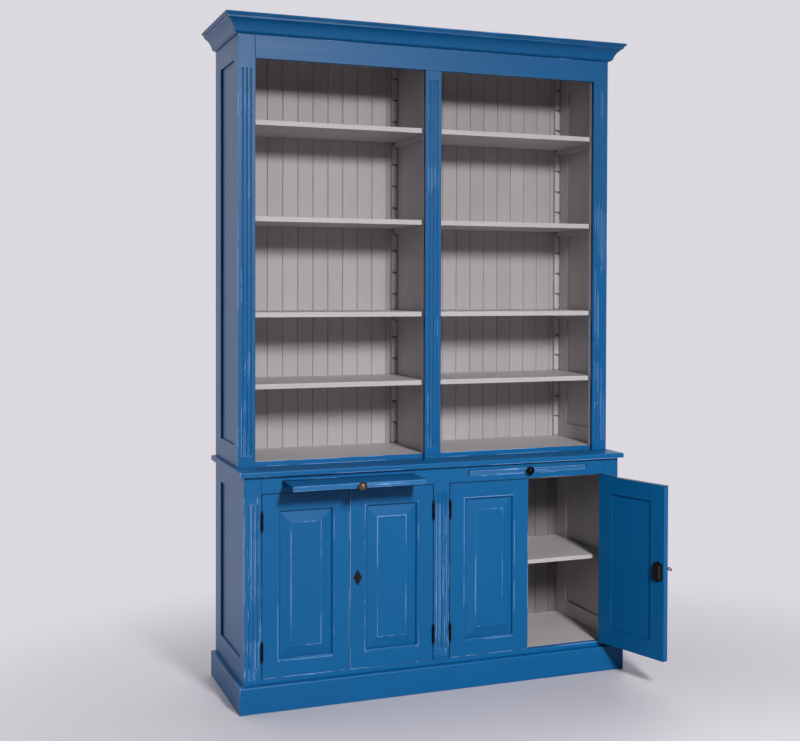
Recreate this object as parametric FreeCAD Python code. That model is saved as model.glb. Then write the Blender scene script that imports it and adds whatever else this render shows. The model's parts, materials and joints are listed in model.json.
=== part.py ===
import FreeCAD, Part
import math
import os
from FreeCAD import Vector

# A painted two-part bookcase: a cupboard base with four raised-panel doors and two
# pull-out slides, and a shallower open bookcase that stands on its top board.
# Millimetres, +Z up, +Y towards the back. The origin is on the floor, in the middle of
# the base. One door stands open and the slide over the left doors is partly out.

# ---- overall sizes -------------------------------------------------------------------
carcass_width = 1460.0
base_depth = 454.0
upper_depth = 365.0
base_height = 828.0            # floor to the top of the base's top board
total_height = 2400.0
board = 18.0                   # floors, roof, top board and upper shelves
side_thickness = 24.0
partition_thickness = 24.0
# ---- plinth and top board ------------------------------------------------------------
plinth_height = 92.0
plinth_overhang = 18.0
plinth_board = 24.0
plinth_edge_round = 5.0
bearer = 20.0
bearer_spacing = 362.0
top_overhang = 17.0
top_edge_round = 5.0
# ---- tongued and grooved back --------------------------------------------------------
back_thickness = 12.0
back_pitch = 60.0
back_rebate = 9.0              # depth of the rebate in each side that takes the boards
tongue_length = 5.0
tongue_thickness = 4.0
tongue_clearance = 0.5
vee_half_width = 2.3           # of the groove between two boards
vee_depth = 3.2
# ---- front frames --------------------------------------------------------------------
pilaster_width = 62.0
centre_pilaster_width = 63.0
base_frame_thickness = 22.0
upper_frame_thickness = 15.0
base_top_rail_height = 60.0
base_rail_proud = 0.6          # in front of the base's pilasters
frieze_height = 81.0           # the part that shows below the cornice
frieze_proud = 2.5             # in front of the bookcase's pilasters
base_floor_setback = 2.0
upper_floor_setback = 20.0
flute_count = 3
flute_pitch = 14.3
flute_width = 8.0
flute_depth = 3.0
flute_top_margin = 34.0
flute_bottom_margin = 40.0
# ---- framed sides --------------------------------------------------------------------
side_back_stile = 87.0
side_front_stile = 62.0        # as seen from outside, pilaster edge included
base_side_top_rail = 70.0
base_side_bottom_rail = 80.0
upper_side_bottom_rail = 74.0
side_panel_thickness = 8.0
side_moulding = 3.0            # round on the inner edges
# ---- doors ---------------------------------------------------------------------------
door_thickness = 21.5
door_member = 63.0
door_moulding_step = 1.5       # down from the door's face
door_moulding_land = 1.5       # flat between the step and the round
door_moulding_round = 5.0
hinge_gap = 2.0
meeting_gap = 2.4
door_end_gap = 2.0
panel_bevel = 40.0
panel_field_depth = 1.5        # field below the door's face
panel_step = 1.5
panel_tongue_front = 9.5       # front of the panel's tongue below the door's face
panel_tongue = 6.6
groove_depth = 8.0
groove_clearance = 1.0
open_door_angle = 107.0
# ---- hinges --------------------------------------------------------------------------
hinge_inset = 96.0             # from the end of the door opening to the hinge's middle
knuckle_radius = 4.4
knuckle_length = 27.0
knuckle_gap = 0.3
knuckle_clearance = 0.3        # between the knuckle and the face of the wood
pin_radius = 2.2
pin_clearance = 0.05
pin_reach = 22.0
leaf_thickness = 1.5
leaf_depth = 18.0
finial_height = 11.5
finial_collar_height = 2.3
finial_neck_radius = 2.2
finial_ball_radius = 3.5
finial_ball_rise = 6.3         # from the knuckle's end to the middle of the ball
finial_tip_radius = 0.45
# ---- locks and key -------------------------------------------------------------------
lock_rise = 324.0              # from the floor of the base to the keyhole
key_backset = 28.0             # from the door's free edge to the keyhole
lock_plate_half_width = 21.0
lock_plate_half_height = 28.0
lock_plate_tip = 39.0
lock_plate = 1.5
lock_case_half_width = 17.5
lock_case_half_height = 27.0
lock_case_depth = 12.5
lock_case_chamfer = 4.0
lock_wall = 2.5
bolt_height = 16.0
bolt_thickness = 4.0
bolt_length = 30.0
bolt_depth = 6.2               # from the door's back to the bolt
bolt_clearance = 0.3
key_shaft_radius = 2.5
key_clearance = 0.5
key_bit_length = 7.5
key_bit_thickness = 2.0
key_bit_width = 3.4
key_reach = 5.4                # into the lock, from the door's back
key_bow_stand = 38.0           # from the door's face to the near side of the bow
key_bow_radius = 7.0
key_bow_wire = 1.9
key_bow_tilt = 55.0
escutcheon_half_height = 29.5
escutcheon_half_width = 16.0
escutcheon_thickness = 1.5
# ---- pull-out slides -----------------------------------------------------------------
slide_width = 484.0
slide_length = 400.0
slide_thickness = 19.0
slide_drop = 20.0              # from the underside of the top board to the slide
slide_seat_gap = 0.3
slide_top_gap = 1.5
slide_side_gap = 1.0           # in the runners
slot_side_gap = 2.5            # in the rail
slide_edge_round = 2.0
slide_travel = 270.0
left_slide_out = 124.0
stop_batten_depth = 20.0
stop_batten_height = 12.0
stop_batten_inset = 42.0
runner_width = 29.0
runner_grip = 9.0
runner_foot = 17.5             # below the slide
knob_radius = 15.5
knob_length = 27.0
knob_neck_radius = 5.0
knob_foot_radius = 8.0
knob_foot_length = 2.7
knob_foot_taper = 1.6          # length of the cone between the foot and the neck
knob_waist = 8.6               # from the slide to the end of the neck
knob_belly = 17.3              # from the slide to the widest turn
knob_bow_out = 0.78            # middle of the curve between them, as shares of
knob_bow_up = 0.45             # its reach and length
knob_spigot_radius = 4.0
knob_spigot_length = 14.0
knob_socket_clearance = 0.1
door_stop_drop = 8.0
door_stop_height = 24.0
door_stop_depth = 12.0
# ---- racks, cleats and shelves -------------------------------------------------------
rack_pitch = 84.3
back_rack_width = 23.0
back_rack_depth = 15.0
front_rack_depth = 16.0
notch_depth = 8.0
notch_height = 14.0
cleat_height = 20.0
cleat_width = 17.0
cleat_clearance = 0.2
shelf_steps = [3, 6, 10, 14]   # the notch that carries each upper shelf, from below
shelf_clearance = 2.0
shelf_notch_clearance = 4.0
shelf_front_inset = 7.0        # behind the back of the pilasters
shelf_edge_round = 1.5
base_shelf_rise = 321.0        # from the floor of the base to its top
base_shelf_thickness = 15.0
base_shelf_setback = 54.0
# ---- cornice and pegs ----------------------------------------------------------------
cornice_height = 65.0
cornice_overhang = 54.0
cornice_fillet_set = 9.0       # how far the fillet stands back from the top edge
cornice_toe = 15.0             # reach of the rounded foot
cornice_toe_height = 8.0
cornice_fillet_height = 7.0
cornice_top_edge = 2.5
cornice_bevel_height = 8.5
cornice_drip = 3.5             # underside of the top member, in front of the fillet
cove_bow_out = 0.35            # middle of the cove, as shares of its reach and rise
cove_bow_up = 0.59
cornice_lip = 8.0              # stands above the roof
peg_radius = 6.0
peg_length = 24.0
peg_clearance = 0.1
peg_inset = 76.0               # from the inner faces of the sides
peg_spacing = 220.0            # front to back

# ---- planes and levels worked out from the sizes --------------------------------------
half_width = carcass_width / 2
y_back = base_depth / 2
y_base = y_back - base_depth                # face of the base
y_base_inner = y_base + base_frame_thickness
y_upper = y_back - upper_depth              # face of the bookcase
y_upper_inner = y_upper + upper_frame_thickness
y_boards = y_back - back_thickness          # front of the back boards
inner_half = half_width - side_thickness
back_half = inner_half + back_rebate
bay_outer = half_width - pilaster_width
bay_inner = centre_pilaster_width / 2
bay_centre = (bay_outer + bay_inner) / 2
partition_half = partition_thickness / 2
floor_top = plinth_height + board
board_under = base_height - board           # underside of the top board
rail_under = board_under - base_top_rail_height
upper_floor_top = base_height + board
cornice_bottom = total_height - cornice_height
frieze_bottom = cornice_bottom - frieze_height
roof_top = total_height - cornice_lip
roof_under = roof_top - board
slide_top = board_under - slide_drop
slide_bottom = slide_top - slide_thickness
lock_height = floor_top + lock_rise
base_shelf_top = floor_top + base_shelf_rise
rack_notches = math.floor((roof_under - upper_floor_top) / rack_pitch - 0.5)
y_back_rack = y_boards - back_rack_depth    # notched face of the back racks
y_front_rack = y_upper_inner + front_rack_depth
rack_walls = ((partition_half, bay_inner), (inner_half, bay_outer))
axis_proud = knuckle_radius + knuckle_clearance
door_back = y_base + door_thickness


# ---- helpers ---------------------------------------------------------------------------
def box(x0, x1, y0, y1, z0, z1):
    """Box between two x, two y and two z planes, in either order."""
    low = Vector(min(x0, x1), min(y0, y1), min(z0, z1))
    return Part.makeBox(abs(x1 - x0), abs(y1 - y0), abs(z1 - z0), low)


def rod(radius, start, direction, length):
    return Part.makeCylinder(radius, length, Vector(*start), Vector(*direction))


def join(shapes):
    """One solid from shapes that touch or overlap."""
    return shapes[0].multiFuse(shapes[1:]).removeSplitter().Solids[0]


def prism(points, direction):
    """Solid from a closed polygon of points, extruded along direction."""
    corners = [Vector(*point) for point in points]
    return Part.Face(Part.makePolygon(corners + corners[:1])).extrude(Vector(*direction))


def edges_where(shape, test):
    """Edges whose two ends both pass the test."""
    return [edge for edge in shape.Edges if all(test(vertex.Point) for vertex in edge.Vertexes)]


def near(a, b):
    return abs(a - b) < 0.01


def arc_middle(run, rise):
    """Middle of an arc that starts along the run and ends at (run, rise)."""
    radius = (run ** 2 + rise ** 2) / (2 * rise)
    half_angle = math.atan2(run, radius - rise) / 2
    return radius * math.sin(half_angle), radius * (1 - math.cos(half_angle))


def export(node, solids):
    """Write one node: a single solid, or a compound of separate solids."""
    shape = solids[0] if len(solids) == 1 else Part.makeCompound(solids)
    shape.exportStep("parts/" + node + ".step")


def mirrored(shape):
    return shape.mirror(Vector(0, 0, 0), Vector(1, 0, 0))


# ---- mouldings that run round the front and both ends -----------------------------------
def moulding(segments, reach_in, reach_out, y_face, z0):
    """Front, left and right lengths of a moulding, mitred at the corners.

    segments are lists of (stand-out, height) points: two make a line, three an arc.
    reach_in and reach_out bound the stand-out from the carcass's own faces.
    """
    def face(place):
        edges = []
        for points in segments:
            ends = [place(out, z0 + height) for out, height in points]
            arc = len(ends) == 3
            edges.append(Part.Arc(*ends).toShape() if arc else Part.makeLine(*ends))
        return Part.Face(Part.Wire(edges))

    long_half = half_width + reach_out
    front = face(lambda out, z: Vector(-long_half, y_face - out, z))
    front = front.extrude(Vector(2 * long_half, 0, 0))
    right = face(lambda out, z: Vector(half_width + out, y_back, z))
    right = right.extrude(Vector(0, y_face - reach_out - y_back, 0))
    low, height = z0 - 1, total_height
    inner = (half_width + reach_in, y_face - reach_in)
    outer = (half_width + reach_out, y_face - reach_out)
    front_zone = prism([(-inner[0], inner[1], low), (inner[0], inner[1], low),
                        (outer[0], outer[1], low), (-outer[0], outer[1], low)], (0, 0, height))
    right_zone = prism([(inner[0], inner[1], low), (outer[0], outer[1], low),
                        (outer[0], y_back, low), (inner[0], y_back, low)], (0, 0, height))
    front = front.common(front_zone).Solids[0]
    right = right.common(right_zone).Solids[0]
    return front, mirrored(right), right


def plinth_boards():
    inset = plinth_overhang - plinth_board
    crown = plinth_height - plinth_edge_round
    shoulder = plinth_overhang - plinth_edge_round
    bulge = plinth_edge_round * math.sqrt(0.5)
    segments = [[(inset, 0), (plinth_overhang, 0)],
                [(plinth_overhang, 0), (plinth_overhang, crown)],
                [(plinth_overhang, crown), (shoulder + bulge, crown + bulge),
                 (shoulder, plinth_height)],
                [(shoulder, plinth_height), (inset, plinth_height)],
                [(inset, plinth_height), (inset, 0)]]
    return list(moulding(segments, inset, plinth_overhang, y_base, 0.0))


def cornice_boards():
    """Rounded foot, deep cove, fillet and a top member with a bevelled edge."""
    fillet_out = cornice_overhang - cornice_fillet_set
    edge_low = cornice_height - cornice_top_edge
    fillet_high = edge_low - cornice_bevel_height
    fillet_low = fillet_high - cornice_fillet_height
    foot = (cornice_toe, cornice_toe_height)
    foot_bulge = arc_middle(cornice_toe, cornice_toe_height)
    cove_middle = (cornice_toe + (fillet_out - cornice_toe) * cove_bow_out,
                   cornice_toe_height + (fillet_low - cornice_toe_height) * cove_bow_up)
    segments = [[(0, 0), foot_bulge, foot],
                [foot, cove_middle, (fillet_out, fillet_low)],
                [(fillet_out, fillet_low), (fillet_out, fillet_high)],
                [(fillet_out, fillet_high), (fillet_out + cornice_drip, fillet_high)],
                [(fillet_out + cornice_drip, fillet_high), (cornice_overhang, edge_low)],
                [(cornice_overhang, edge_low), (cornice_overhang, cornice_height)],
                [(cornice_overhang, cornice_height), (0, cornice_height)],
                [(0, cornice_height), (0, 0)]]
    return moulding(segments, 0.0, cornice_overhang, y_upper, cornice_bottom)


# ---- framed panels, used for the doors and the carcass sides ------------------------------
def framed_panel(width, height, thickness, members, moulding, tongue_front, tongue):
    """Stiles, rails and panel slab, show face at y = 0 looking along -Y.

    members are the widths of the left stile, right stile, bottom rail and top rail.
    moulding is the step, the land and the round along their inner edges.
    The lower left corner is at the origin.
    """
    left, right, bottom, top = members
    x0, x1, z0, z1 = left, width - right, bottom, height - top
    ring = box(0, width, 0, thickness, 0, height).cut(box(x0, x1, 0, thickness, z0, z1))
    step, land, edge_round = moulding
    if step:
        wide = land + edge_round
        ring = ring.cut(box(x0 - wide, x1 + wide, 0, step, z0 - wide, z1 + wide))
    rim = edges_where(ring, lambda p: near(p.y, step) and x0 - 0.01 < p.x < x1 + 0.01
                      and z0 - 0.01 < p.z < z1 + 0.01)
    ring = ring.makeFillet(edge_round, rim)
    groove = groove_depth + groove_clearance
    y0, y1 = tongue_front, tongue_front + tongue
    ring = ring.cut(box(x0 - groove, x1 + groove, y0, y1, z0 - groove, z1 + groove))
    cells = [box(0, x0, 0, thickness, 0, height), box(x1, width, 0, thickness, 0, height),
             box(x0, x1, 0, thickness, 0, z0), box(x0, x1, 0, thickness, z1, height)]
    frame = [ring.common(cell).Solids[0] for cell in cells]
    slab = box(x0 - groove_depth, x1 + groove_depth, y0, y1, z0 - groove_depth, z1 + groove_depth)
    return frame, slab, (x0, x1, z0, z1)


def raised_panel(slab, opening):
    """Adds the bevelled field to a door's panel slab."""
    x0, x1, z0, z1 = opening
    def ring(inset, y):
        corners = [Vector(x0 + inset, y, z0 + inset), Vector(x1 - inset, y, z0 + inset),
                   Vector(x1 - inset, y, z1 - inset), Vector(x0 + inset, y, z1 - inset)]
        return Part.makePolygon(corners + corners[:1])
    step_foot = panel_field_depth + panel_step
    bevel = Part.makeLoft([ring(0, panel_tongue_front), ring(panel_bevel, step_foot)], True, True)
    field = box(x0 + panel_bevel, x1 - panel_bevel, panel_field_depth, panel_tongue_front,
                z0 + panel_bevel, z1 - panel_bevel)
    return join([slab, bevel, field])


def carcass_side(depth_front, z0, z1, front_stile, bottom_rail, top_rail):
    """Framed right-hand side with a flat panel, rebated for the back boards."""
    members = (front_stile, side_back_stile, bottom_rail, top_rail)
    panel_front = (side_thickness - side_panel_thickness) / 2
    frame, slab, _ = framed_panel(y_back - depth_front, z1 - z0, side_thickness, members,
                                  (0, 0, side_moulding), panel_front, side_panel_thickness)
    rebate = box(inner_half, back_half, y_boards, y_back, z0, z1)
    pieces = []
    for piece in frame + [slab]:
        piece.rotate(Vector(0, 0, 0), Vector(0, 0, 1), 90)
        piece.translate(Vector(half_width, depth_front, z0))
        pieces.append(piece.cut(rebate).Solids[0])
    return pieces


# ---- tongued and grooved boards -------------------------------------------------------------
def back_boards(z0, z1):
    """Boards from rebate to rebate; the last one is ripped to fit."""
    mid = (y_boards + y_back) / 2
    thin = tongue_thickness / 2
    boards = []
    x = -back_half
    while x < back_half - 0.01:
        end = min(x + back_pitch, back_half)
        first, last = near(x, -back_half), near(end, back_half)
        outline = [(x + vee_half_width, y_boards, z0), (end - vee_half_width, y_boards, z0),
                   (end, y_boards + vee_depth, z0), (end, y_back, z0), (x, y_back, z0),
                   (x, y_boards + vee_depth, z0)]
        plank = prism(outline, (0, 0, z1 - z0))
        if not last:
            plank = join([plank, box(end, end + tongue_length, mid - thin, mid + thin, z0, z1)])
        if not first:
            slot = tongue_length + tongue_clearance
            plank = plank.cut(box(x, x + slot, mid - thin, mid + thin, z0, z1)).Solids[0]
        boards.append(plank)
        x = end
    return boards


# ---- pilasters --------------------------------------------------------------------------------
def pilaster(x0, x1, y_face, thickness, z0, z1, flute_low, flute_high):
    """Board with round-ended flutes sunk in its face."""
    body = box(x0, x1, y_face, y_face + thickness, z0, z1)
    radius = (flute_width ** 2 / 4 + flute_depth ** 2) / (2 * flute_depth)
    y = y_face + flute_depth - radius
    low, high = flute_low + flute_width / 2, flute_high - flute_width / 2
    middle = (x0 + x1) / 2
    for index in range(flute_count):
        x = middle + (index - (flute_count - 1) / 2) * flute_pitch
        cutter = rod(radius, (x, y, low), (0, 0, 1), high - low)
        for z in (low, high):
            cutter = cutter.fuse(Part.makeSphere(radius, Vector(x, y, z)))
        body = body.cut(cutter)
    return body.Solids[0]


def base_pilasters():
    low, high = floor_top + flute_bottom_margin, rail_under - flute_top_margin
    right = pilaster(bay_outer, half_width, y_base, base_frame_thickness,
                     plinth_height, board_under, low, high)
    centre = pilaster(-bay_inner, bay_inner, y_base, base_frame_thickness,
                      floor_top, rail_under, low, high)
    return [mirrored(right), centre, right]


def upper_pilasters():
    low, high = base_height + flute_bottom_margin, frieze_bottom - flute_top_margin
    right = pilaster(bay_outer, half_width, y_upper, upper_frame_thickness,
                     base_height, roof_top, low, high)
    centre = pilaster(-bay_inner, bay_inner, y_upper, upper_frame_thickness,
                      base_height, frieze_bottom, low, high)
    return [mirrored(right), centre, right]


# ---- hinges -----------------------------------------------------------------------------------
def finial(x, y, z, up):
    """Turned end of a hinge: a collar, a neck, a ball and a small tip."""
    foot, middle = Vector(x, y, z), Vector(x, y, z + up * finial_ball_rise)
    along = Vector(0, 0, up)
    return join([
        Part.makeCone(knuckle_radius, finial_neck_radius, finial_collar_height, foot, along),
        Part.makeCylinder(finial_neck_radius, finial_ball_rise, foot, along),
        Part.makeSphere(finial_ball_radius, middle),
        Part.makeCone(finial_neck_radius, finial_tip_radius,
                      finial_height - finial_ball_rise, middle, along)])


def hinge_leaf(x_edge, into, z_middle):
    """Let-in leaf: into is the x direction, from the edge into the wood."""
    return box(x_edge, x_edge + into * leaf_thickness, y_base, y_base + leaf_depth,
               z_middle - knuckle_length, z_middle + knuckle_length)


def hinge_half(axis_x, x_edge, into, z_middle, up):
    """Leaf, neck, knuckle and finial; up is 1 for the door's half, -1 for the frame's."""
    y = y_base - axis_proud
    z = z_middle + up * knuckle_gap / 2
    neck = box(x_edge, x_edge + into * leaf_thickness, y, y_base, z, z + up * knuckle_length)
    end = z + up * knuckle_length
    return [hinge_leaf(x_edge, into, z_middle), neck,
            rod(knuckle_radius, (axis_x, y, z), (0, 0, up), knuckle_length),
            finial(axis_x, y, end, up)]


def frame_hinge_half(axis_x, x_edge, into, z_middle):
    pin = rod(pin_radius, (axis_x, y_base - axis_proud, z_middle - knuckle_length / 2),
              (0, 0, 1), knuckle_length / 2 + pin_reach)
    return join(hinge_half(axis_x, x_edge, into, z_middle, -1) + [pin])


def door_hinge_half(axis_x, x_edge, into, z_middle):
    bore = rod(pin_radius + pin_clearance, (axis_x, y_base - axis_proud, z_middle),
               (0, 0, 1), pin_reach + 1)
    return join(hinge_half(axis_x, x_edge, into, z_middle, 1)).cut(bore).Solids[0]


# ---- locks and key ------------------------------------------------------------------------------
def keyhole(x, y0, y1):
    """Round hole with a slot below it, cut through everything between y0 and y1."""
    radius = key_shaft_radius + key_clearance
    slot_half = key_bit_thickness / 2 + key_clearance
    slot = box(x - slot_half, x + slot_half, y0, y1,
               lock_height - key_bit_length - key_clearance, lock_height)
    return rod(radius, (x, y0, lock_height), (0, 1, 0), y1 - y0).fuse(slot)


def lock_case(x_free):
    """Rim lock on the door's back; its bolt leaves towards -X, past the free edge."""
    x = x_free + key_backset
    w, h, tip = lock_plate_half_width, lock_plate_half_height, lock_plate_tip
    outline = [(-w, -h), (0, -tip), (w, -h), (w, h), (0, tip), (-w, h)]
    points = [(x + dx, door_back, lock_height + dz) for dx, dz in outline]
    plate = prism(points, (0, lock_plate, 0))
    case = box(x - lock_case_half_width, x + lock_case_half_width,
               door_back + lock_plate, door_back + lock_case_depth,
               lock_height - lock_case_half_height, lock_height + lock_case_half_height)
    outer = door_back + lock_case_depth
    case = case.makeChamfer(lock_case_chamfer, edges_where(case, lambda p: near(p.y, outer)))
    body = join([plate, case])
    drum = rod(key_bit_length + 2 * key_clearance, (x, door_back + lock_plate, lock_height),
               (0, 1, 0), bolt_depth - lock_plate)
    half = bolt_height / 2 + bolt_clearance
    way = box(x - lock_case_half_width - 1, x + lock_case_half_width - lock_wall,
              door_back + bolt_depth - bolt_clearance,
              door_back + bolt_depth + bolt_thickness + bolt_clearance,
              lock_height - half, lock_height + half)
    body = body.cut(drum).cut(way).cut(keyhole(x, door_back - 1, door_back + bolt_depth))
    return body.Solids[0]


def lock_bolt(x_free):
    """Drawn back: its nose is flush with the case."""
    nose = x_free + key_backset - lock_case_half_width
    y = door_back + bolt_depth
    return box(nose, nose + bolt_length, y, y + bolt_thickness,
               lock_height - bolt_height / 2, lock_height + bolt_height / 2)


def escutcheon(x_free):
    x = x_free + key_backset
    w, h = escutcheon_half_width, escutcheon_half_height
    points = [(x + dx, y_base - escutcheon_thickness, lock_height + dz)
              for dx, dz in ((-w, 0), (0, -h), (w, 0), (0, h))]
    plate = prism(points, (0, escutcheon_thickness, 0))
    return plate.cut(keyhole(x, y_base - escutcheon_thickness - 1, y_base + 1)).Solids[0]


def key(x_free):
    """Shaft through the door, a bit in the lock and an open bow outside."""
    x = x_free + key_backset
    tip = door_back + key_reach
    start = y_base - key_bow_stand
    bow_y = start - key_bow_radius
    bow = Part.makeTorus(key_bow_radius, key_bow_wire, Vector(x, bow_y, lock_height),
                         Vector(1, 0, 0))
    bow.rotate(Vector(x, bow_y, lock_height), Vector(0, 1, 0), key_bow_tilt)
    shaft = rod(key_shaft_radius, (x, start, lock_height), (0, 1, 0), tip - start)
    bit = box(x - key_bit_thickness / 2, x + key_bit_thickness / 2,
              tip - key_bit_width, tip, lock_height - key_bit_length, lock_height)
    return join([shaft, bit, bow])


# ---- doors ----------------------------------------------------------------------------------------
def door(x0, x1, hinge_right, locked):
    """One inset door in the opening from x0 to x1, shut. Returns its pieces by name."""
    into_frame = 1 if hinge_right else -1
    frame_edge = x1 if hinge_right else x0
    axis_x = frame_edge - into_frame * hinge_gap / 2
    left = x0 + (meeting_gap / 2 if hinge_right else hinge_gap)
    right = x1 - (hinge_gap if hinge_right else meeting_gap / 2)
    bottom, top = floor_top + door_end_gap, rail_under - door_end_gap
    moulding = (door_moulding_step, door_moulding_land, door_moulding_round)
    frame, slab, opening = framed_panel(right - left, top - bottom, door_thickness,
                                        (door_member,) * 4, moulding,
                                        panel_tongue_front, panel_tongue)
    panel = raised_panel(slab, opening)
    for piece in frame + [panel]:
        piece.translate(Vector(left, y_base, bottom))
    door_edge = right if hinge_right else left
    hung = 1 if hinge_right else 0
    hinges, frame_halves, frame_leaves = [], [], []
    for z in (floor_top + hinge_inset, rail_under - hinge_inset):
        hinges.append(door_hinge_half(axis_x, door_edge, -into_frame, z))
        frame_halves.append(frame_hinge_half(axis_x, frame_edge, into_frame, z))
        frame[hung] = frame[hung].cut(hinge_leaf(door_edge, -into_frame, z)).Solids[0]
        frame_leaves.append(hinge_leaf(frame_edge, into_frame, z))
    pieces = {"frame": frame, "panel": [panel], "hinges": hinges}
    if locked:
        x = left + key_backset
        frame[0] = frame[0].cut(keyhole(x, y_base - 1, door_back + 1)).Solids[0]
        pieces["lock"] = [lock_case(left)]
        pieces["lock_bolt"] = [lock_bolt(left)]
        pieces["escutcheon"] = [escutcheon(left)]
    return pieces, frame_halves, frame_leaves, axis_x, left


# ---- slides -----------------------------------------------------------------------------------------
def knob(x, y):
    """Turned knob with a spigot in the slide's front edge."""
    z = slide_bottom + slide_thickness / 2
    foot = knob_foot_length
    neck = foot + knob_foot_taper
    bow = (knob_neck_radius + (knob_radius - knob_neck_radius) * knob_bow_out,
           knob_waist + (knob_belly - knob_waist) * knob_bow_up)
    crown_reach, crown_drop = arc_middle(knob_radius, knob_length - knob_belly)
    profile = [[(0, -knob_spigot_length), (knob_spigot_radius, -knob_spigot_length)],
               [(knob_spigot_radius, -knob_spigot_length), (knob_spigot_radius, 0)],
               [(knob_spigot_radius, 0), (knob_foot_radius, 0)],
               [(knob_foot_radius, 0), (knob_foot_radius, foot)],
               [(knob_foot_radius, foot), (knob_neck_radius, neck)],
               [(knob_neck_radius, neck), (knob_neck_radius, knob_waist)],
               [(knob_neck_radius, knob_waist), bow, (knob_radius, knob_belly)],
               [(knob_radius, knob_belly), (crown_reach, knob_length - crown_drop),
                (0, knob_length)],
               [(0, knob_length), (0, -knob_spigot_length)]]
    edges = []
    for points in profile:
        ends = [Vector(x + r, y - out, z) for r, out in points]
        edges.append(Part.Arc(*ends).toShape() if len(ends) == 3 else Part.makeLine(*ends))
    return Part.Face(Part.Wire(edges)).revolve(Vector(x, y, z), Vector(0, 1, 0), 360)


def slide(x, out):
    """Board and its stop batten, drawn out by the given amount."""
    y0 = y_base - out
    half = slide_width / 2
    leaf = box(x - half, x + half, y0, y0 + slide_length, slide_bottom, slide_top)
    front = edges_where(leaf, lambda p: near(p.y, y0))
    rim = [edge for edge in front if edge.BoundBox.XLength > slide_width / 2]
    leaf = leaf.makeFillet(slide_edge_round, rim)
    socket = rod(knob_spigot_radius + knob_socket_clearance,
                 (x, y0, slide_bottom + slide_thickness / 2), (0, 1, 0),
                 knob_spigot_length + knob_socket_clearance)
    leaf = leaf.cut(socket).Solids[0]
    stop = y_base_inner + slide_travel - out
    batten_half = half - stop_batten_inset
    batten = box(x - batten_half, x + batten_half, stop, stop + stop_batten_depth,
                 slide_top, slide_top + stop_batten_height)
    return [leaf, batten]


def door_stops():
    """A strip behind the rail over each pair of doors."""
    low = rail_under - door_stop_drop
    stop = box(bay_inner, bay_outer, y_base_inner, y_base_inner + door_stop_depth,
               low, low + door_stop_height)
    return [mirrored(stop), stop]


def slide_runners():
    """A grooved runner along each edge of each slide, notched over the door stop."""
    runners = []
    for centre, stop in zip((-bay_centre, bay_centre), door_stops()):
        for hand in (-1, 1):
            edge = centre + hand * slide_width / 2
            inner = edge - hand * runner_grip
            bar = box(inner, inner + hand * runner_width, y_base_inner, y_boards,
                      slide_bottom - runner_foot, board_under)
            groove = box(inner - hand, edge + hand * slide_side_gap, y_base_inner, y_boards,
                         slide_bottom - slide_seat_gap, slide_top + slide_top_gap)
            runners.append(bar.cut(groove).cut(stop).Solids[0])
    return runners


def base_top_rail():
    """Rail over the doors, with a slot for each slide."""
    y_face = y_base - base_rail_proud
    rail = box(-bay_outer, bay_outer, y_face, y_base_inner, rail_under, board_under)
    for centre in (-bay_centre, bay_centre):
        half = slide_width / 2 + slot_side_gap
        rail = rail.cut(box(centre - half, centre + half, y_face, y_base_inner,
                            slide_bottom - slide_seat_gap, slide_top + slide_top_gap))
    return rail.Solids[0]


# ---- racks, cleats and shelves ------------------------------------------------------------------------
def rack(x_wall, x_face, y_plain, y_notched):
    """Upright strip with a notch under each step; the notch's roof is level."""
    strip = box(x_wall, x_face, y_plain, y_notched, upper_floor_top, roof_under)
    inward = notch_depth if y_plain > y_notched else -notch_depth
    low = min(x_wall, x_face) - 1
    for step in range(1, rack_notches + 1):
        z = upper_floor_top + step * rack_pitch
        notch = prism([(low, y_notched, z), (low, y_notched + inward, z),
                       (low, y_notched, z - notch_height)],
                      (abs(x_face - x_wall) + 2, 0, 0))
        strip = strip.cut(notch)
    return strip.Solids[0]


def shelf_racks():
    racks = []
    for x_wall, x_front in rack_walls:
        toward = 1 if x_front > x_wall else -1
        racks.append(rack(x_wall, x_wall + toward * back_rack_width, y_boards, y_back_rack))
        racks.append(rack(x_wall, x_front, y_upper_inner, y_front_rack))
    return racks + [mirrored(piece) for piece in racks]


def shelf_cleats():
    """Bars with bevelled ends that drop into the racks, two for each upper shelf."""
    slack = cleat_clearance
    cleats = []
    for step in shelf_steps:
        z = upper_floor_top + step * rack_pitch - slack
        ends = [(y_front_rack - notch_depth + 2 * slack, z),
                (y_back_rack + notch_depth - 2 * slack, z),
                (y_back_rack - slack, z - notch_height),
                (y_back_rack - slack, z - cleat_height),
                (y_front_rack + slack, z - cleat_height),
                (y_front_rack + slack, z - notch_height)]
        for x_wall, x_front in rack_walls:
            toward = 1 if x_front > x_wall else -1
            bar = prism([(x_wall, y, height) for y, height in ends],
                        (toward * cleat_width, 0, 0))
            cleats += [bar, mirrored(bar)]
    return cleats


def upper_shelf(step):
    """Right-hand shelf, notched at its corners round the racks."""
    x0, x1 = partition_half + shelf_clearance, inner_half - shelf_clearance
    y0 = y_upper_inner + shelf_front_inset
    y1 = y_boards - shelf_clearance
    z0 = upper_floor_top + step * rack_pitch
    z1 = z0 + board
    shelf = box(x0, x1, y0, y1, z0, z1)
    front = y_front_rack + shelf_notch_clearance
    back = y_back_rack - shelf_notch_clearance
    for x_wall, x_front in rack_walls:
        toward = 1 if x_front > x_wall else -1
        x_rack = x_wall + toward * (back_rack_width + shelf_notch_clearance)
        x_post = x_front + toward * shelf_notch_clearance
        shelf = shelf.cut(box(x_wall, x_rack, back, y1, z0, z1))
        shelf = shelf.cut(box(x_wall, x_post, y0, front, z0, z1))
    rim = [edge for edge in edges_where(shelf, lambda p: near(p.y, y0))
           if edge.BoundBox.XLength > 1]
    return shelf.makeFillet(shelf_edge_round, rim).Solids[0]


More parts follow.
